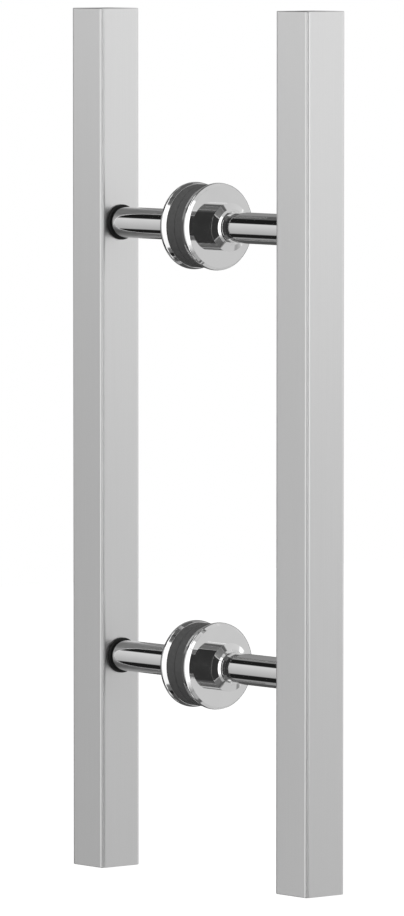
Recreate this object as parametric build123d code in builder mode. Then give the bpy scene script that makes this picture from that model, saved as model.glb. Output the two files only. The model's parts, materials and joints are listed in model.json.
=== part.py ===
# Back-to-back handle for a glass shower door.
# Two square grip tubes stand upright, one on each side of the glass, and two lines of round posts
# join them. Each line is clamped through a hole in the glass by a pair of rosettes and gaskets.
# Origin: the middle of the handle, on the mid-plane of the glass. +Z runs up along the tubes,
# Y runs through the glass, and the outside of the shower is on the -Y side. Millimetres.
import os

from build123d import *

# grip tubes
grip_length = 450.0
grip_width = 25.4
grip_wall = 1.5
grip_corner_radius = 2.0
grip_inner_corner_radius = 0.5
grip_spacing = 164.0
grip_end_chamfer = 0.3

# plugs in the tubes' ends
cap_thickness = 2.5
cap_depth = 11.0
cap_wall = 1.6
cap_corner_radius = 0.9

# posts
post_spacing = 227.0
post_diameter = 16.0
post_edge = 0.5
post_relief_diameter = 9.2
post_relief_depth = 10.0
post_thread_depth = 14.0
drill_point_height = 2.4

# groove near the post's glass end, where the grub screw bites
groove_depth = 0.6
groove_floor = 2.2
groove_from_face = 3.8

# black rings between the posts and the tubes
ring_diameter = 18.4
ring_thickness = 1.6
ring_edge = 0.4
ring_hole_diameter = 8.6

# rosettes, one turned piece: a flange with a crowned rim, and a round hub with a coned nose that
# takes the post
rosette_diameter = 45.0
rosette_back_diameter = 43.6
rosette_front_diameter = 44.6
rosette_crest_from_back = 3.0
rosette_rim = 4.8
rosette_chamfer = 0.8
hub_diameter = 25.2
hub_length = 7.7
nose_diameter = 19.6
nose_rise = 1.0
nose_chamfer = 1.1
socket_clearance = 0.05
socket_lead_in = 0.15
socket_floor_from_face = 0.8

# gaskets, closed up against each other with no glass between them
gasket_diameter = 43.0
gasket_thickness = 6.0
gasket_edge = 0.4
gasket_spigot_diameter = 40.8
gasket_spigot_depth = 0.8
spigot_clearance = 0.1

# hidden hardware
thread_diameter = 8.0
thread_chamfer = 0.8
clamp_stud_length = 34.0
clamp_stud_key = 4.0
clamp_stud_key_depth = 5.0
bushing_diameter = 14.0
bushing_bore = 8.2
bushing_edge = 0.4
post_stud_length = 26.0
rivet_body_diameter = 10.9
rivet_hole_diameter = 11.0
rivet_flange_diameter = 14.0
rivet_flange_thickness = 0.8
rivet_bulb_diameter = 13.6
rivet_bulb_width = 3.0
rivet_depth = 13.5
grub_diameter = 4.0
grub_tip_diameter = 1.8
grub_tip_height = 1.1
grub_outer_radius = 11.6
grub_key = 2.0
grub_key_depth = 1.2

# distances from the mid-plane of the glass, the same on both sides
rosette_back = gasket_thickness
recess_floor = rosette_back + gasket_spigot_depth
chamfer_start = rosette_back + rosette_rim
rosette_face = chamfer_start + rosette_chamfer
hub_end = rosette_face + hub_length
nose_start = hub_end + nose_rise
nose_end = nose_start + nose_chamfer
socket_floor = rosette_face - socket_floor_from_face
grub_height = rosette_face + groove_from_face
grip_centre = grip_spacing / 2
grip_face = grip_centre - grip_width / 2
ring_start = grip_face - ring_thickness

post_radius = post_diameter / 2
socket_radius = post_radius + socket_clearance
mouth_radius = socket_radius + socket_lead_in
thread_radius = thread_diameter / 2
hidden_hole = drill_point_height + post_thread_depth

# side name and the way out from the glass along Y
sides = {"outside": -1, "inside": 1}
levels = {"upper": post_spacing / 2, "lower": -post_spacing / 2}

os.makedirs("parts", exist_ok=True)


def save(part, name):
    part.label = name
    export_step(part, f"parts/{name}.step")


def turning_plane(outward, height):
    """The half plane of a turned profile: local X is the radius, local Y the way out from the glass."""
    return Plane(origin=(0, 0, height), x_dir=(1, 0, 0), z_dir=(0, 0, outward))


def turned(outline, outward, height):
    """A solid of revolution about a post line, from (radius, distance from the glass) points."""
    with BuildPart() as piece:
        with BuildSketch(turning_plane(outward, height)):
            with BuildLine():
                Polyline(*outline, close=True)
            make_face()
        revolve(axis=Axis((0, 0, height), (0, outward, 0)))
    return piece.part


def grip_tube(outward):
    """Square tube with rounded corners, open at both ends, drilled in the wall that faces the glass."""
    inner_width = grip_width - 2 * grip_wall
    with BuildPart() as tube:
        with BuildSketch(Plane.XY.offset(-grip_length / 2)):
            with Locations((0, outward * grip_centre)):
                RectangleRounded(grip_width, grip_width, grip_corner_radius)
                RectangleRounded(inner_width, inner_width, grip_inner_corner_radius, mode=Mode.SUBTRACT)
        extrude(amount=grip_length)
        for end in (tube.faces().sort_by(Axis.Z)[0], tube.faces().sort_by(Axis.Z)[-1]):
            chamfer(end.outer_wire().edges(), grip_end_chamfer)
        wall = Plane(origin=(0, outward * grip_face, 0), x_dir=(1, 0, 0), z_dir=(0, outward, 0))
        with BuildSketch(wall):
            with GridLocations(0, post_spacing, 1, 2):
                Circle(rivet_hole_diameter / 2)
        extrude(amount=grip_wall, mode=Mode.SUBTRACT)
    return tube.part


def end_cap(outward, end):
    """Moulded plug: a plate flush with the tube's end and a hollow skirt pressed into the tube."""
    width = grip_width - 2 * grip_wall
    face = Plane(origin=(0, outward * grip_centre, end * grip_length / 2), z_dir=(0, 0, -end))
    with BuildPart() as cap:
        with BuildSketch(face):
            RectangleRounded(width, width, cap_corner_radius)
        extrude(amount=cap_depth)
        with BuildSketch(face.offset(cap_thickness)):
            RectangleRounded(width - 2 * cap_wall, width - 2 * cap_wall, cap_corner_radius)
        extrude(amount=cap_depth - cap_thickness, mode=Mode.SUBTRACT)
        rim = cap.faces().sort_by(Axis.Z)[0 if end > 0 else -1]
        chamfer(rim.outer_wire().edges(), cap_wall / 2)
    return cap.part


def post(outward, height):
    """Plain round post with a relief bore for the clamp stud, a locking groove and a tapped end."""
    relief = post_relief_diameter / 2
    relief_end = socket_floor + post_relief_depth
    groove_half = groove_floor / 2
    groove_radius = post_radius - groove_depth
    outline = [
        (relief, socket_floor),
        (post_radius - post_edge, socket_floor),
        (post_radius, socket_floor + post_edge),
        (post_radius, grub_height - groove_half - groove_depth),
        (groove_radius, grub_height - groove_half),
        (groove_radius, grub_height + groove_half),
        (post_radius, grub_height + groove_half + groove_depth),
        (post_radius, ring_start - post_edge),
        (post_radius - post_edge, ring_start),
        (thread_radius, ring_start),
        (thread_radius, ring_start - post_thread_depth),
        (0, ring_start - hidden_hole),
        (0, relief_end + drill_point_height),
        (relief, relief_end),
    ]
    return turned(outline, outward, height)


def rosette(outward, height):
    """Flange and hub turned from one bar, socketed for the post and recessed for the gasket."""
    recess = gasket_spigot_diameter / 2 + spigot_clearance
    rim_front = rosette_front_diameter / 2
    hub = hub_diameter / 2
    nose = nose_diameter / 2
    outline = [
        (thread_radius, recess_floor),
        (recess, recess_floor),
        (recess, rosette_back),
        (rosette_back_diameter / 2, rosette_back),
        (rosette_diameter / 2, rosette_back + rosette_crest_from_back),
        (rim_front, chamfer_start),
        (rim_front - rosette_chamfer, rosette_face),
        (hub, rosette_face),
        (hub, hub_end),
        (nose, nose_start),
        (nose - nose_chamfer, nose_end),
        (mouth_radius, nose_end),
        (socket_radius, nose_end - socket_lead_in),
        (socket_radius, socket_floor),
        (thread_radius, socket_floor),
    ]
    body = turned(outline, outward, height)
    with BuildPart() as flange:
        add(body)
        with BuildSketch(Plane(origin=(0, outward * grub_height, height), z_dir=(0, 0, -1))):
            Circle(grub_diameter / 2)
        extrude(amount=hub, mode=Mode.SUBTRACT)
    return flange.part


def gasket(outward, height):
    """Rubber ring with a spigot that centres it in the back of its rosette."""
    outer = gasket_diameter / 2
    spigot = gasket_spigot_diameter / 2
    bore = bushing_diameter / 2
    outline = [
        (bore, 0),
        (outer - gasket_edge, 0),
        (outer, gasket_edge),
        (outer, rosette_back),
        (spigot, rosette_back),
        (spigot, recess_floor),
        (bore, recess_floor),
    ]
    return turned(outline, outward, height)


def seat_ring(outward, height):
    """Black ring that closes the joint between post and tube, over the rivet nut's flange."""
    outer = ring_diameter / 2
    pocket = rivet_flange_diameter / 2
    pocket_floor = grip_face - rivet_flange_thickness
    outline = [
        (ring_hole_diameter / 2, ring_start),
        (outer - ring_edge, ring_start),
        (outer, ring_start + ring_edge),
        (outer, grip_face),
        (pocket, grip_face),
        (pocket, pocket_floor),
        (ring_hole_diameter / 2, pocket_floor),
    ]
    return turned(outline, outward, height)


def rivet_nut(outward, height):
    """Threaded insert set in the tube's wall, with its flange outside and its bulb inside."""
    flange = rivet_flange_diameter / 2
    body = rivet_body_diameter / 2
    bulb = rivet_bulb_diameter / 2
    wall_back = grip_face + grip_wall
    outline = [
        (thread_radius, grip_face - rivet_flange_thickness),
        (flange, grip_face - rivet_flange_thickness),
        (flange, grip_face),
        (body, grip_face),
        (body, wall_back),
        (bulb, wall_back),
        (bulb, wall_back + rivet_bulb_width / 2),
        (body, wall_back + rivet_bulb_width),
        (body, grip_face + rivet_depth),
        (thread_radius, grip_face + rivet_depth),
    ]
    return turned(outline, outward, height)


def threaded_rod(start, length, outward, height, key=0.0, key_depth=0.0):
    """Headless stud along a post line, from a distance from the glass, with an optional hex socket."""
    base = Plane(origin=(0, outward * start, height), x_dir=(1, 0, 0), z_dir=(0, outward, 0))
    with BuildPart() as rod:
        with BuildSketch(base):
            Circle(thread_radius)
        extrude(amount=length)
        chamfer(rod.edges().filter_by(GeomType.CIRCLE), thread_chamfer)
        if key:
            with BuildSketch(base):
                RegularPolygon(key / 2, 6, major_radius=False)
            extrude(amount=key_depth, mode=Mode.SUBTRACT)
    return rod.part


def bushing(height):
    """Nylon sleeve round the clamp stud, which keeps it off the edge of the hole in the glass."""
    outer = bushing_diameter / 2
    bore = bushing_bore / 2
    outline = [
        (bore, -recess_floor),
        (outer - bushing_edge, -recess_floor),
        (outer, bushing_edge - recess_floor),
        (outer, recess_floor - bushing_edge),
        (outer - bushing_edge, recess_floor),
        (bore, recess_floor),
    ]
    return turned(outline, 1, height)


def grub_screw(outward, height):
    """Cone point screw in the underside of the hub, with its tip on the floor of the post's groove."""
    tip = grub_tip_diameter / 2
    body = grub_diameter / 2
    tip_radius = post_radius - groove_depth
    centre = outward * grub_height
    key_plane = Plane(origin=(0, centre, height - grub_outer_radius), z_dir=(0, 0, 1))
    with BuildPart() as screw:
        with BuildSketch(Plane(origin=(0, centre, height), x_dir=(1, 0, 0), z_dir=(0, 1, 0))):
            with BuildLine():
                Polyline(
                    (0, tip_radius),
                    (tip, tip_radius),
                    (body, tip_radius + grub_tip_height),
                    (body, grub_outer_radius),
                    (0, grub_outer_radius),
                    close=True,
                )
            make_face()
        revolve(axis=Axis((0, centre, height), (0, 0, -1)))
        with BuildSketch(key_plane):
            RegularPolygon(grub_key / 2, 6, major_radius=False)
        extrude(amount=grub_key_depth, mode=Mode.SUBTRACT)
    return screw.part


for side, outward in sides.items():
    save(grip_tube(outward), f"{side}_grip_tube")
    save(end_cap(outward, 1), f"{side}_top_cap")
    save(end_cap(outward, -1), f"{side}_bottom_cap")
    for level, height in levels.items():
        save(post(outward, height), f"{side}_{level}_post")
        save(seat_ring(outward, height), f"{side}_{level}_seat_ring")
        save(rosette(outward, height), f"{side}_{level}_rosette")
        save(gasket(outward, height), f"{side}_{level}_gasket")
        save(rivet_nut(outward, height), f"{side}_{level}_rivet_nut")
        stud_start = ring_start - post_thread_depth + thread_chamfer
        save(threaded_rod(stud_start, post_stud_length, outward, height), f"{side}_{level}_post_stud")
        save(grub_screw(outward, height), f"{side}_{level}_grub_screw")

for level, height in levels.items():
    stud = threaded_rod(
        -clamp_stud_length / 2, clamp_stud_length, 1, height, clamp_stud_key, clamp_stud_key_depth
    )
    save(stud, f"{level}_clamp_stud")
    save(bushing(height), f"{level}_glass_bushing")
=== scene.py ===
# A back-to-back shower door handle: two satin square tubes on polished posts, clamped through the glass.
# The handle comes from the frame. This script gives it a camera, a studio, its finishes, its turned rosettes
# and the threads on its studs.
import json
import math

import bmesh
import bpy
from mathutils import Matrix, Vector


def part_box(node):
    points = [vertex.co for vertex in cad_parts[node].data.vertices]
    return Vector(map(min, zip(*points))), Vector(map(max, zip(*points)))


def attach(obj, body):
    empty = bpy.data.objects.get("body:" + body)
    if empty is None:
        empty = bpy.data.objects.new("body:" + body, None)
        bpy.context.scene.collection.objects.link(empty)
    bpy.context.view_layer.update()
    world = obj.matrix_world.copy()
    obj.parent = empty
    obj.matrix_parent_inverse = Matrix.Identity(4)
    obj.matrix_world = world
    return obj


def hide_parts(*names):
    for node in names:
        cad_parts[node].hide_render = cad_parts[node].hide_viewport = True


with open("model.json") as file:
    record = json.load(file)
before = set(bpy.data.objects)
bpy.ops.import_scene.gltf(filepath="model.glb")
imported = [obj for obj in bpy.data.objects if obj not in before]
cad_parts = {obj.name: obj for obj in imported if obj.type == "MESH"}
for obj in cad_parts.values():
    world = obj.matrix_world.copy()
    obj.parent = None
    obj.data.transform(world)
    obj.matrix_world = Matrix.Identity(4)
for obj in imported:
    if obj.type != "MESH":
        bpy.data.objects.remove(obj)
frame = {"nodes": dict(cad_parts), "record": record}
nodes = frame["nodes"]
slotOf = {part["node"]: part["material_slot"] for part in frame["record"]["subparts"]}
sides = {"outside": -1, "inside": 1}    # which way each side stands off the glass, along Y
levels = ("upper", "lower")
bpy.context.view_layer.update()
print("frame loaded:", len(nodes), "pieces")


# Object helpers

def newObject(name, data):
    made = bpy.data.objects.new(name, data)
    bpy.context.scene.collection.objects.link(made)
    return made


def meshFrom(work, name):
    mesh = bpy.data.meshes.new(name)
    work.to_mesh(mesh)
    work.free()
    return mesh


def bakeModifier(piece, modifier):
    # the piece's mesh with the modifier's work in it, and the modifier gone
    shape = piece.evaluated_get(bpy.context.evaluated_depsgraph_get())
    mesh = bpy.data.meshes.new_from_object(shape)
    piece.modifiers.remove(modifier)
    piece.data = mesh


# Camera

cameraSetup = {
    "distance": 4.044,   # metres from the middle of the handle
    "azimuth": 40.0,     # degrees, seen from the left of the outside tube
    "elevation": 3.934,
    "pan": -0.032,       # where it looks, away from the middle of the handle
    "pitch": 4.023,      # downwards
    "lens": 307.8,       # millimetres, as is the sensor's width
    "sensor": 36.0,
    "clip": (0.1, 100.0),
}


def direction(azimuth, elevation):
    # azimuth turns from +X towards +Y, both angles in degrees
    turn, rise = math.radians(azimuth), math.radians(elevation)
    return Vector((math.cos(turn) * math.cos(rise), math.sin(turn) * math.cos(rise), math.sin(rise)))


def makeCamera(setup):
    data = bpy.data.cameras.new("camera")
    data.lens = setup["lens"]
    data.sensor_width = setup["sensor"]
    data.clip_start, data.clip_end = setup["clip"]
    camera = newObject("camera", data)
    camera.location = direction(-90 - setup["azimuth"], setup["elevation"]) * setup["distance"]
    look = direction(90 - setup["azimuth"] - setup["pan"], -setup["pitch"])
    camera.rotation_mode = "QUATERNION"
    camera.rotation_quaternion = look.to_track_quat("-Z", "Y")
    bpy.context.scene.camera = camera


makeCamera(cameraSetup)
bpy.context.scene.view_settings.view_transform = "Standard"
print("camera set")


# Node helpers

def addNode(tree, kind, **settings):
    node = tree.nodes.new(kind)
    for name, value in settings.items():
        setattr(node, name, value)
    return node


def socket(sockets, identifier):
    return next(one for one in sockets if one.identifier == identifier)


def fedNode(tree, kind, operation, values):
    # a maths node, with each of its inputs linked or set in turn
    node = addNode(tree, kind, operation=operation)
    for place, value in zip(node.inputs, values):
        if isinstance(value, bpy.types.NodeSocket):
            tree.links.new(value, place)
        else:
            place.default_value = value
    return node


def mathNode(tree, operation, *values):
    return fedNode(tree, "ShaderNodeMath", operation, values).outputs[0]


def vectorNode(tree, operation, *values):
    return fedNode(tree, "ShaderNodeVectorMath", operation, values)


def newMaterial(name):
    material = bpy.data.materials.new(name)
    material.use_nodes = True
    return material, material.node_tree


# Studio: a white room that metal sees as it is, with grey panels and black flags for the polish to show

roomLight = {
    "seen": 1.0,         # strength for the camera and for reflections
    "given": 0.55,       # strength as a light on the matt pieces
    "floorDrop": 3.4,    # metres below the middle of the handle
    "floorSize": 60.0,
    "floorColor": (0.86, 0.86, 0.86, 1.0),
    "floorLift": 0.60,   # glow that takes the lit floor to white
}


def seenRays(tree):
    # 1 for camera, glossy and transmission rays
    path = addNode(tree, "ShaderNodeLightPath").outputs
    seen = mathNode(tree, "MAXIMUM", path["Is Camera Ray"], path["Is Glossy Ray"])
    return mathNode(tree, "MAXIMUM", seen, path["Is Transmission Ray"])


def makeRoom(setup):
    world = bpy.data.worlds.new("room")
    world.use_nodes = True
    tree = world.node_tree
    background = tree.nodes["Background"]
    background.inputs["Color"].default_value = (1.0, 1.0, 1.0, 1.0)
    level = addNode(tree, "ShaderNodeMapRange")
    level.inputs["To Min"].default_value = setup["given"]
    level.inputs["To Max"].default_value = setup["seen"]
    tree.links.new(seenRays(tree), level.inputs["Value"])
    tree.links.new(level.outputs["Result"], background.inputs["Strength"])
    bpy.context.scene.world = world


def makeFloor(setup):
    material, tree = newMaterial("paleFloor")
    tree.nodes.remove(tree.nodes["Principled BSDF"])
    paint = addNode(tree, "ShaderNodeBsdfDiffuse")
    paint.inputs["Color"].default_value = setup["floorColor"]
    glow = addNode(tree, "ShaderNodeEmission")
    tree.links.new(mathNode(tree, "MULTIPLY", seenRays(tree), setup["floorLift"]), glow.inputs["Strength"])
    both = addNode(tree, "ShaderNodeAddShader")
    tree.links.new(paint.outputs[0], both.inputs[0])
    tree.links.new(glow.outputs[0], both.inputs[1])
    side = addNode(tree, "ShaderNodeNewGeometry")
    clear = addNode(tree, "ShaderNodeBsdfTransparent")
    oneSided = addNode(tree, "ShaderNodeMixShader")    # seen from below, the floor is clear
    tree.links.new(side.outputs["Backfacing"], oneSided.inputs["Fac"])
    tree.links.new(both.outputs[0], oneSided.inputs[1])
    tree.links.new(clear.outputs[0], oneSided.inputs[2])
    tree.links.new(oneSided.outputs[0], tree.nodes["Material Output"].inputs["Surface"])
    material.cycles.emission_sampling = "NONE"
    half = setup["floorSize"] / 2
    drop = -setup["floorDrop"]
    mesh = bpy.data.meshes.new("floor")
    corners = [(-half, -half, drop), (half, -half, drop), (half, half, drop), (-half, half, drop)]
    mesh.from_pydata(corners, [], [(0, 1, 2, 3)])
    mesh.materials.append(material)
    floor = newObject("floor", mesh)


# Each card is a patch of a sphere round the handle. Its row holds, in this order, azimuth from and to,
# elevation from and to, brightness at the bottom and at the top, width of the soft edge, and distance.
# Angles and the soft edge are in degrees, azimuth turns from +X towards +Y, and the distance is in metres.
studioCards = {
    "leftPanel": ((117, 135), (-26, 25), (0.42, 0.72), 2, 3.00),
    "leftGlow": ((137, 174), (-46, 46), (1.00, 1.40), 3, 3.05),
    "highGlowSide": ((130, 142), (23, 37), (1.20, 1.20), 2, 2.955),
    "highGlow": ((122, 140), (33, 53), (1.20, 1.20), 2, 2.96),
    "highGlowEnd": ((98, 124), (44, 58), (0.90, 0.90), 2, 2.97),
    "lowGlowSide": ((130, 142), (-39, -25), (1.10, 1.10), 2, 2.955),
    "lowGlow": ((122, 140), (-53, -36), (1.10, 1.10), 2, 2.96),
    "lowGlowEnd": ((98, 124), (-63, -47), (0.80, 0.80), 2, 2.97),
    "edgeGlowUp": ((219, 238), (30, 54), (1.30, 1.20), 2, 2.94),
    "edgeGlowDown": ((219, 237), (-54, -31), (0.25, 1.00), 2, 2.94),
    "edgeGlow": ((212, 228), (-49, 60), (1.40, 1.60), 2, 3.05),
    "edgeGlowHigh": ((221, 260), (47, 68), (0.60, 0.60), 2, 2.96),
    "edgeGlowLow": ((221, 262), (-70, -47), (0.40, 0.40), 2, 2.96),
    "slitFlag": ((171, 215), (-50, 50), (0.05, 0.05), 3, 3.10),
    "frontGlow": ((271, 305), (-16, 15), (0.60, 1.20), 4, 2.95),
    "frontFlag": ((226, 270), (-42, 42), (0.035, 0.035), 3, 3.00),
    "frontSurround": ((222, 306), (-85, 54), (0.12, 0.12), 3, 3.10),
    "noseGlow": ((298, 352), (15, 46), (0.72, 0.60), 3, 2.95),
    "noseLowGlow": ((290, 345), (-58, -30), (0.56, 0.60), 3, 2.95),
    "facePanel": ((303, 318), (-24, 16), (0.62, 0.62), 2, 2.96),
    "rightPanel": ((303, 352), (-40, 22), (0.10, 1.60), 3, 2.98),
    "rightHighPanel": ((311, 352), (19, 56), (0.70, 0.70), 3, 2.99),
    "topPanel": ((240, 376), (46, 88), (0.66, 0.60), 4, 3.15),
    "bevelPanel": ((350, 398), (-56, 52), (0.55, 0.62), 3, 3.04),
    "bottomPanel": ((276, 376), (-86, -45), (0.55, 0.60), 4, 3.05),
    "highFlag": ((103, 139), (22, 62), (0.012, 0.012), 3, 3.10),
    "lowFlag": ((103, 139), (-64, -23), (0.012, 0.012), 3, 3.10),
    "lowGlint": ((78, 105), (-52, -27), (0.30, 0.30), 3, 3.12),
    "backPanel": ((36, 104), (6, 42), (0.24, 0.28), 3, 3.12),
    "lowLeftCard": ((130, 226), (-85, -43), (0.15, 0.15), 4, 3.15),
    "highLeftCard": ((120, 216), (44, 85), (0.12, 0.12), 4, 3.15),
    "backSurround": ((34, 139), (-85, 85), (0.07, 0.12), 4, 3.20),
}
cardStep = 3.0    # degrees between the points of a card


def cardMaterial():
    material, tree = newMaterial("studioCard")
    tree.nodes.remove(tree.nodes["Principled BSDF"])
    glow = addNode(tree, "ShaderNodeEmission")
    tone = addNode(tree, "ShaderNodeAttribute", attribute_name="tone")
    tree.links.new(tone.outputs["Fac"], glow.inputs["Strength"])
    clear = addNode(tree, "ShaderNodeBsdfTransparent")
    cover = addNode(tree, "ShaderNodeAttribute", attribute_name="cover")
    blend = addNode(tree, "ShaderNodeMixShader")
    tree.links.new(cover.outputs["Fac"], blend.inputs["Fac"])
    tree.links.new(clear.outputs[0], blend.inputs[1])
    tree.links.new(glow.outputs[0], blend.inputs[2])
    tree.links.new(blend.outputs[0], tree.nodes["Material Output"].inputs["Surface"])
    material.cycles.emission_sampling = "NONE"
    return material


def smoothStep(value):
    t = min(max(value, 0.0), 1.0)
    return t * t * (3 - 2 * t)


def makeCard(name, card, material):
    (left, right), (low, high), (bottom, top), feather, away = card
    columns = max(2, round((right - left) / cardStep))
    rows = max(2, round((high - low) / cardStep))
    points, tones, covers = [], [], []
    for row in range(rows + 1):
        for column in range(columns + 1):
            azimuth = left + (right - left) * column / columns
            elevation = low + (high - low) * row / rows
            edge = min(azimuth - left, right - azimuth, elevation - low, high - elevation)
            points.append(direction(azimuth, elevation) * away)
            tones.append(bottom + (top - bottom) * row / rows)
            covers.append(smoothStep(edge / feather))
    faces = []
    for row in range(rows):
        for column in range(columns):
            corner = row * (columns + 1) + column
            faces.append((corner, corner + columns + 1, corner + columns + 2, corner + 1))
    mesh = bpy.data.meshes.new(name)
    mesh.from_pydata(points, [], faces)
    mesh.attributes.new("tone", "FLOAT", "POINT").data.foreach_set("value", tones)
    mesh.attributes.new("cover", "FLOAT", "POINT").data.foreach_set("value", covers)
    mesh.materials.append(material)
    patch = newObject(name, mesh)
    patch.visible_camera = False
    patch.visible_diffuse = False
    patch.visible_transmission = False
    patch.visible_volume_scatter = False
    patch.visible_shadow = False


# Soft boxes that light the matt pieces and the floor. Metal sees the cards in their place.
softBoxes = {
    "key": {"azimuth": 200, "elevation": 40, "away": 2.2, "size": 1.4, "power": 22},
    "fill": {"azimuth": 290, "elevation": 25, "away": 2.4, "size": 1.6, "power": 14},
    "top": {"azimuth": 90, "elevation": 75, "away": 2.2, "size": 1.4, "power": 12},
}


# Lamps for the satin tubes alone: they lift the tubes' faces and corners, more towards the top.
tubeLamps = {
    "tubeSide": {"azimuth": 130, "away": 2.0, "height": 0.34, "size": 0.5, "power": 0.26},
    "tubeCornerLeft": {"azimuth": 193, "away": 2.0, "height": 0.30, "size": 1.1, "power": 3.4},
    "tubeCornerRight": {"azimuth": 262, "away": 2.0, "height": 0.30, "size": 1.4, "power": 6.4},
    "tubeBack": {"azimuth": 90, "away": 3.0, "height": 0.20, "size": 1.6, "power": 4.0},
    "tubeFace": {"azimuth": 270, "away": 3.0, "height": 0.50, "size": 1.2, "power": 2.4},
    "tubeFront": {"azimuth": 310, "away": 2.0, "height": 0.28, "size": 0.6, "power": 0.38},
}


def squareLamp(name, setup, elevation, height):
    # it stands in its direction, raised by height, and faces straight back along that direction
    data = bpy.data.lights.new(name, "AREA")
    data.shape = "SQUARE"
    data.size = setup["size"]
    data.energy = setup["power"]
    lamp = newObject(name, data)
    place = direction(setup["azimuth"], elevation)
    lamp.location = place * setup["away"] + Vector((0.0, 0.0, height))
    lamp.rotation_euler = (-place).to_track_quat("-Z", "Y").to_euler()
    lamp.visible_camera = False
    return lamp


makeRoom(roomLight)
makeFloor(roomLight)
cardPaint = cardMaterial()
for name, card in studioCards.items():
    makeCard(name, card, cardPaint)
for name, setup in softBoxes.items():
    squareLamp(name, setup, setup["elevation"], 0.0).visible_glossy = False
satinTubes = bpy.data.collections.new("satinTubes")
for side in sides:
    satinTubes.objects.link(nodes[side + "_grip_tube"])
for name, setup in tubeLamps.items():
    squareLamp(name, setup, 0.0, setup["height"]).light_linking.receiver_collection = satinTubes
print("studio made:", len(studioCards), "cards,", len(softBoxes) + len(tubeLamps), "lamps")


# Finishes. Every pattern is read from Object coordinates, which are metres in the handle's own frame.

def objectNoise(tree, scale):
    # scale is the number of features in a metre along X, Y and Z
    place = addNode(tree, "ShaderNodeTexCoord")
    stretch = addNode(tree, "ShaderNodeMapping")
    stretch.inputs["Scale"].default_value = scale
    tree.links.new(place.outputs["Object"], stretch.inputs["Vector"])
    noise = addNode(tree, "ShaderNodeTexNoise")
    noise.inputs["Scale"].default_value = 1.0
    tree.links.new(stretch.outputs["Vector"], noise.inputs["Vector"])
    return noise.outputs["Fac"]


noiseRange = (0.3, 0.7)    # noise lies about between these


def spread(tree, value, low, high):
    # the noise's range becomes low to high
    level = addNode(tree, "ShaderNodeMapRange")
    level.inputs["From Min"].default_value, level.inputs["From Max"].default_value = noiseRange
    level.inputs["To Min"].default_value = low
    level.inputs["To Max"].default_value = high
    tree.links.new(value, level.inputs["Value"])
    return level.outputs["Result"]


def greyBetween(tree, value, dark, light):
    mix = addNode(tree, "ShaderNodeMix", data_type="RGBA")
    socket(mix.inputs, "A_Color").default_value = (*dark, 1.0)
    socket(mix.inputs, "B_Color").default_value = (*light, 1.0)
    tree.links.new(spread(tree, value, 0.0, 1.0), socket(mix.inputs, "Factor_Float"))
    return socket(mix.outputs, "Result_Color")


def bump(tree, value, height, strength):
    node = addNode(tree, "ShaderNodeBump")
    node.inputs["Strength"].default_value = strength
    node.inputs["Distance"].default_value = height
    tree.links.new(value, node.inputs["Height"])
    return node.outputs["Normal"]


# Grain and relief are features in a metre along X, Y and Z, and the relief's height is in metres. The grain
# moves the colour from dark to light and the roughness from the first value to the second.
finishes = {
    "satin_steel": {
        "metal": 1.0, "shine": 0.5,
        "dark": (0.71, 0.71, 0.71), "light": (0.73, 0.73, 0.73),
        "grain": (2600.0, 2600.0, 14.0),       # brushed along the tube
        "roughness": (0.29, 0.32),
        "relief": (3400.0, 3400.0, 24.0), "reliefHeight": 0.000004, "reliefStrength": 0.12,
    },
    "polished_chrome": {
        "metal": 1.0, "shine": 0.5,
        "dark": (0.885, 0.885, 0.885), "light": (0.91, 0.91, 0.91),
        "grain": (90.0, 90.0, 90.0),
        "roughness": (0.03, 0.07),
        "relief": (40.0, 40.0, 40.0), "reliefHeight": 0.00002, "reliefStrength": 0.05,
    },
    "black_nylon": {
        "metal": 0.0, "shine": 0.2,
        "dark": (0.006, 0.006, 0.006), "light": (0.012, 0.012, 0.012),
        "grain": (700.0, 700.0, 700.0),
        "roughness": (0.38, 0.50),
        "relief": (2600.0, 2600.0, 2600.0), "reliefHeight": 0.00002, "reliefStrength": 0.3,
    },
    "dark_rubber": {
        "metal": 0.0, "shine": 0.5,
        "dark": (0.050, 0.050, 0.050), "light": (0.070, 0.070, 0.070),
        "grain": (500.0, 500.0, 500.0),
        "roughness": (0.55, 0.70),
        "relief": (2200.0, 2200.0, 2200.0), "reliefHeight": 0.00003, "reliefStrength": 0.35,
    },
    "white_nylon": {
        "metal": 0.0, "shine": 0.5,
        "dark": (0.82, 0.82, 0.80), "light": (0.87, 0.87, 0.85),
        "grain": (300.0, 300.0, 300.0),
        "roughness": (0.40, 0.52),
        "relief": (1500.0, 1500.0, 1500.0), "reliefHeight": 0.00002, "reliefStrength": 0.2,
    },
    "plated_steel": {
        "metal": 1.0, "shine": 0.5,
        "dark": (0.55, 0.55, 0.55), "light": (0.65, 0.65, 0.65),
        "grain": (220.0, 220.0, 220.0),
        "roughness": (0.24, 0.40),
        "relief": (900.0, 900.0, 900.0), "reliefHeight": 0.00002, "reliefStrength": 0.2,
    },
}


def makeFinish(name, finish):
    material, tree = newMaterial(name)
    surface = tree.nodes["Principled BSDF"]
    surface.inputs["Metallic"].default_value = finish["metal"]
    surface.inputs["Specular IOR Level"].default_value = finish["shine"]
    grain = objectNoise(tree, finish["grain"])
    tree.links.new(greyBetween(tree, grain, finish["dark"], finish["light"]), surface.inputs["Base Color"])
    tree.links.new(spread(tree, grain, *finish["roughness"]), surface.inputs["Roughness"])
    relief = objectNoise(tree, finish["relief"])
    normal = bump(tree, relief, finish["reliefHeight"], finish["reliefStrength"])
    tree.links.new(normal, surface.inputs["Normal"])
    return material


paints = {name: makeFinish(name, finish) for name, finish in finishes.items()}
for name, node in nodes.items():
    for holder in node.material_slots:
        holder.material = paints[slotOf[name]]
print("finishes given:", ", ".join(paints))


# Rosettes, turned again with a crowned rim and softly broken edges in place of the frame's plain ones.
# Each corner is a radius, a distance from the glass, and the rounding of that corner, in millimetres.

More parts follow.
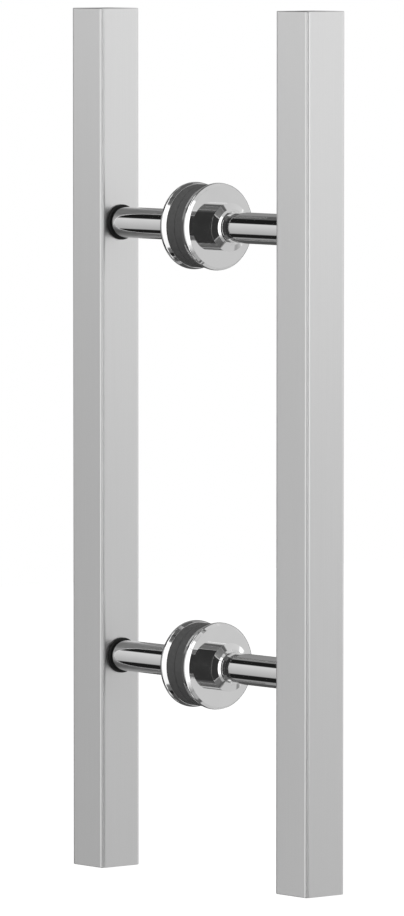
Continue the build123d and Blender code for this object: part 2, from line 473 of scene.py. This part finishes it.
rosetteShape = {
    "corners": [
        (4.00, 6.80, 0.00),     # thread of the clamp stud
        (20.50, 6.80, 0.00),    # recess for the gasket
        (20.50, 6.00, 0.00),
        (21.80, 6.00, 0.15),    # back edge
        (22.75, 9.10, 4.00),    # crown of the rim
        (22.45, 10.10, 0.12),
        (21.15, 11.40, 0.12),   # broad bevel
        (12.55, 11.40, 0.00),   # root of the hub
        (12.55, 18.90, 0.06),
        (9.40, 20.40, 0.06),    # coned nose
        (8.40, 21.40, 0.05),
        (8.05, 21.40, 0.00),    # mouth of the post's socket
        (8.05, 10.80, 0.00),
        (4.00, 10.80, 0.00),
    ],
    "arcStep": 6.0,             # degrees turned by one face of a rounding
    "edgeHold": 0.04,           # millimetres of straight run kept apart beside a rounding
    "segments": 144,            # faces round the axis
    "sharpFrom": 30.0,          # degrees at which an edge is left sharp
}

# The grub screw's hole, in millimetres, from one depth below the post line to another
grubHole = {
    "radius": 2.0,
    "fromGlass": 15.4,
    "from": 6.0,
    "to": 14.0,
    "segments": 48,
}
perMetre = 1000.0               # millimetres in a metre


def roundCorner(before, corner, after, radius, step):
    # points of the arc that takes off a corner, from one run to the next
    toBefore, toAfter = (before - corner).normalized(), (after - corner).normalized()
    half = toBefore.angle(toAfter) / 2
    reach = radius / math.tan(half)
    centre = corner + (toBefore + toAfter).normalized() * (radius / math.sin(half))
    first, last = corner + toBefore * reach - centre, corner + toAfter * reach - centre
    turn = first.angle_signed(last)
    count = max(2, round(math.degrees(abs(turn)) / step))
    return [centre + Matrix.Rotation(-turn * i / count, 2) @ first for i in range(count + 1)]


def roundedOutline(shape):
    corners = [Vector(corner[:2]) for corner in shape["corners"]]
    outline = []
    for i, (_, _, radius) in enumerate(shape["corners"]):
        if radius == 0.0:
            outline.append(corners[i])
            continue
        after = corners[(i + 1) % len(corners)]
        arc = roundCorner(corners[i - 1], corners[i], after, radius, shape["arcStep"])
        hold = shape["edgeHold"]
        outline.append(arc[0] + (corners[i - 1] - corners[i]).normalized() * hold)
        outline.extend(arc)
        outline.append(arc[-1] + (after - corners[i]).normalized() * hold)
    return outline


def turnedMesh(name, shape, outward, height):
    # the outline turned about a post line into a closed ring, in metres
    outline = roundedOutline(shape)
    work = bmesh.new()
    rings = []
    for i in range(shape["segments"]):
        angle = 2 * math.pi * i / shape["segments"]
        across, up = math.cos(angle), math.sin(angle)
        places = [Vector((r * across, outward * away, r * up)) / perMetre for r, away in outline]
        rings.append([work.verts.new(place + Vector((0, 0, height))) for place in places])
    for i, ring in enumerate(rings):
        for j in range(len(ring)):
            work.faces.new((ring[j - 1], rings[i - 1][j - 1], rings[i - 1][j], ring[j]))
    bmesh.ops.recalc_face_normals(work, faces=work.faces)
    mesh = meshFrom(work, name)
    mesh.shade_smooth()
    return mesh


def holeCutter(hole, outward, height):
    # a plain pin that stands in for the drill, upright below the post line
    work = bmesh.new()
    low, high = height - hole["to"] / perMetre, height - hole["from"] / perMetre
    place = Matrix.Translation((0.0, outward * hole["fromGlass"] / perMetre, (low + high) / 2))
    radius = hole["radius"] / perMetre
    bmesh.ops.create_cone(work, cap_ends=True, segments=hole["segments"], radius1=radius, radius2=radius,
                          depth=high - low, matrix=place)
    return newObject("drill", meshFrom(work, "drill"))


def turnedPiece(name, shape, hole, outward, height):
    piece = newObject(name, turnedMesh(name, shape, outward, height))
    drill = holeCutter(hole, outward, height)
    cut = piece.modifiers.new("hole", "BOOLEAN")
    cut.operation = "DIFFERENCE"
    cut.solver = "EXACT"
    cut.object = drill
    bakeModifier(piece, cut)
    bpy.data.objects.remove(drill)
    piece.data.set_sharp_from_angle(angle=math.radians(shape["sharpFrom"]))
    return piece


for side, outward in sides.items():
    for level in levels:
        node = side + "_" + level + "_rosette"
        low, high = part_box(node)
        piece = turnedPiece(node + "_turned", rosetteShape, grubHole, outward, (low[2] + high[2]) / 2)
        piece.data.materials.append(paints["polished_chrome"])
        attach(piece, "root")
        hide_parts(node)
print("rosettes turned")


# Threads on the studs, made with Geometry Nodes: each stud is brought down to its root, and a ridge
# is wound round it that tapers off at both ends.

threads = {
    "pitch": 0.00125,       # metres from one turn to the next
    "crestGap": 0.00002,    # how far the crest stays inside the stud's own radius
    "ends": 0.0008,         # bare length at each end
    "perTurn": 24,          # points on each turn
    "taper": 1.0,           # turns over which the ridge rises
    "tip": 0.02,            # its least size, as a share of the full ridge
}
threadInputs = {
    "Geometry": "Geometry", "Root Radius": "Float", "Pitch": "Float", "Start": "Float", "Length": "Float",
    "Height": "Float", "Taper": "Float", "Tip": "Float", "Points Per Turn": "Int", "Material": "Material",
}
mergeDistance = 0.000001    # metres, for corners that lie together
threadedNodes = [level + "_clamp_stud" for level in levels]
threadedNodes += [side + "_" + level + "_post_stud" for side in sides for level in levels]


def addCore(tree, given):
    # the stud's own skin, pulled in to the root
    link = tree.links.new
    axis = addNode(tree, "ShaderNodeCombineXYZ")
    link(given["Height"], axis.inputs["Z"])
    place = addNode(tree, "GeometryNodeInputPosition")
    fromAxis = vectorNode(tree, "SUBTRACT", place.outputs[0], axis.outputs[0]).outputs["Vector"]
    across = vectorNode(tree, "MULTIPLY", fromAxis, (1.0, 0.0, 1.0)).outputs["Vector"]
    reach = vectorNode(tree, "LENGTH", across).outputs["Value"]
    pull = mathNode(tree, "SUBTRACT", mathNode(tree, "DIVIDE", given["Root Radius"], reach), 1.0)
    inwards = vectorNode(tree, "SCALE", across)
    link(pull, inwards.inputs["Scale"])
    outside = addNode(tree, "FunctionNodeCompare", data_type="FLOAT", operation="GREATER_THAN")
    link(reach, outside.inputs[0])
    link(given["Root Radius"], outside.inputs[1])
    core = addNode(tree, "GeometryNodeSetPosition")
    link(given["Geometry"], core.inputs["Geometry"])
    link(outside.outputs[0], core.inputs["Selection"])
    link(inwards.outputs["Vector"], core.inputs["Offset"])
    return core.outputs["Geometry"]


def addRidge(tree, given):
    # a diamond wound about the axis, with its inner half in the core
    link = tree.links.new
    winding = addNode(tree, "GeometryNodeCurveSpiral")
    turns = mathNode(tree, "DIVIDE", given["Length"], given["Pitch"])
    link(given["Points Per Turn"], winding.inputs["Resolution"])
    link(turns, winding.inputs["Rotations"])
    link(given["Root Radius"], winding.inputs["Start Radius"])
    link(given["Root Radius"], winding.inputs["End Radius"])
    link(given["Length"], winding.inputs["Height"])
    upright = addNode(tree, "GeometryNodeSetCurveNormal", mode="Z_UP")
    link(winding.outputs["Curve"], upright.inputs["Curve"])
    diamond = addNode(tree, "GeometryNodeCurvePrimitiveCircle", mode="RADIUS")
    diamond.inputs["Resolution"].default_value = 4    # corners
    link(mathNode(tree, "MULTIPLY", given["Pitch"], 0.5), diamond.inputs["Radius"])
    along = addNode(tree, "GeometryNodeSplineParameter").outputs["Factor"]
    nearEnd = mathNode(tree, "MINIMUM", along, mathNode(tree, "SUBTRACT", 1.0, along))
    rise = mathNode(tree, "DIVIDE", mathNode(tree, "MULTIPLY", nearEnd, turns), given["Taper"])
    size = mathNode(tree, "MAXIMUM", mathNode(tree, "MINIMUM", rise, 1.0), given["Tip"])
    ridge = addNode(tree, "GeometryNodeCurveToMesh")
    link(upright.outputs["Curve"], ridge.inputs["Curve"])
    link(diamond.outputs["Curve"], ridge.inputs["Profile Curve"])
    link(size, ridge.inputs["Scale"])
    ridge.inputs["Fill Caps"].default_value = True
    laid = addNode(tree, "GeometryNodeTransform")
    link(ridge.outputs["Mesh"], laid.inputs["Geometry"])
    laid.inputs["Rotation"].default_value = (-math.pi / 2, 0.0, 0.0)
    foot = addNode(tree, "ShaderNodeCombineXYZ")
    link(given["Start"], foot.inputs["Y"])
    link(given["Height"], foot.inputs["Z"])
    link(foot.outputs[0], laid.inputs["Translation"])
    return laid.outputs["Geometry"]


def threadTree():
    tree = bpy.data.node_groups.new("thread", "GeometryNodeTree")
    for name, kind in threadInputs.items():
        tree.interface.new_socket(name, in_out="INPUT", socket_type="NodeSocket" + kind)
    tree.interface.new_socket("Geometry", in_out="OUTPUT", socket_type="NodeSocketGeometry")
    given = addNode(tree, "NodeGroupInput").outputs
    link = tree.links.new
    both = addNode(tree, "GeometryNodeJoinGeometry")
    link(addCore(tree, given), both.inputs[0])
    link(addRidge(tree, given), both.inputs[0])
    real = addNode(tree, "GeometryNodeRealizeInstances")
    link(both.outputs[0], real.inputs[0])
    coat = addNode(tree, "GeometryNodeSetMaterial")
    link(real.outputs[0], coat.inputs["Geometry"])
    link(given["Material"], coat.inputs["Material"])
    link(coat.outputs[0], addNode(tree, "NodeGroupOutput").inputs[0])
    return tree


def mergedCopy(name, node):
    # the frame's loose triangles joined at their corners
    work = bmesh.new()
    work.from_mesh(nodes[node].data)
    bmesh.ops.remove_doubles(work, verts=work.verts, dist=mergeDistance)
    return newObject(name, meshFrom(work, name))


def threadedPiece(node, tree, setup):
    low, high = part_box(node)
    crest = (high[0] - low[0]) / 2 - setup["crestGap"]
    piece = mergedCopy(node + "_threaded", node)
    wound = piece.modifiers.new("thread", "NODES")
    wound.node_group = tree
    values = {
        "Root Radius": crest - setup["pitch"] / 2,
        "Pitch": setup["pitch"],
        "Start": low[1] + setup["ends"],
        "Length": high[1] - low[1] - 2 * setup["ends"],
        "Height": (low[2] + high[2]) / 2,
        "Taper": setup["taper"],
        "Tip": setup["tip"],
        "Points Per Turn": setup["perTurn"],
        "Material": paints[slotOf[node]],
    }
    for item in tree.interface.items_tree:
        if item.in_out == "INPUT" and item.name in values:
            wound[item.identifier] = values[item.name]
    bakeModifier(piece, wound)
    return piece


threadMaker = threadTree()
for node in threadedNodes:
    piece = threadedPiece(node, threadMaker, threads)
    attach(piece, "root")
    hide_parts(node)
print("threads wound:", len(threadedNodes), "studs")


# A helper that turns a box's two corners into plain lists of numbers

def corners(box):
    return [[float(value) for value in corner] for corner in box]
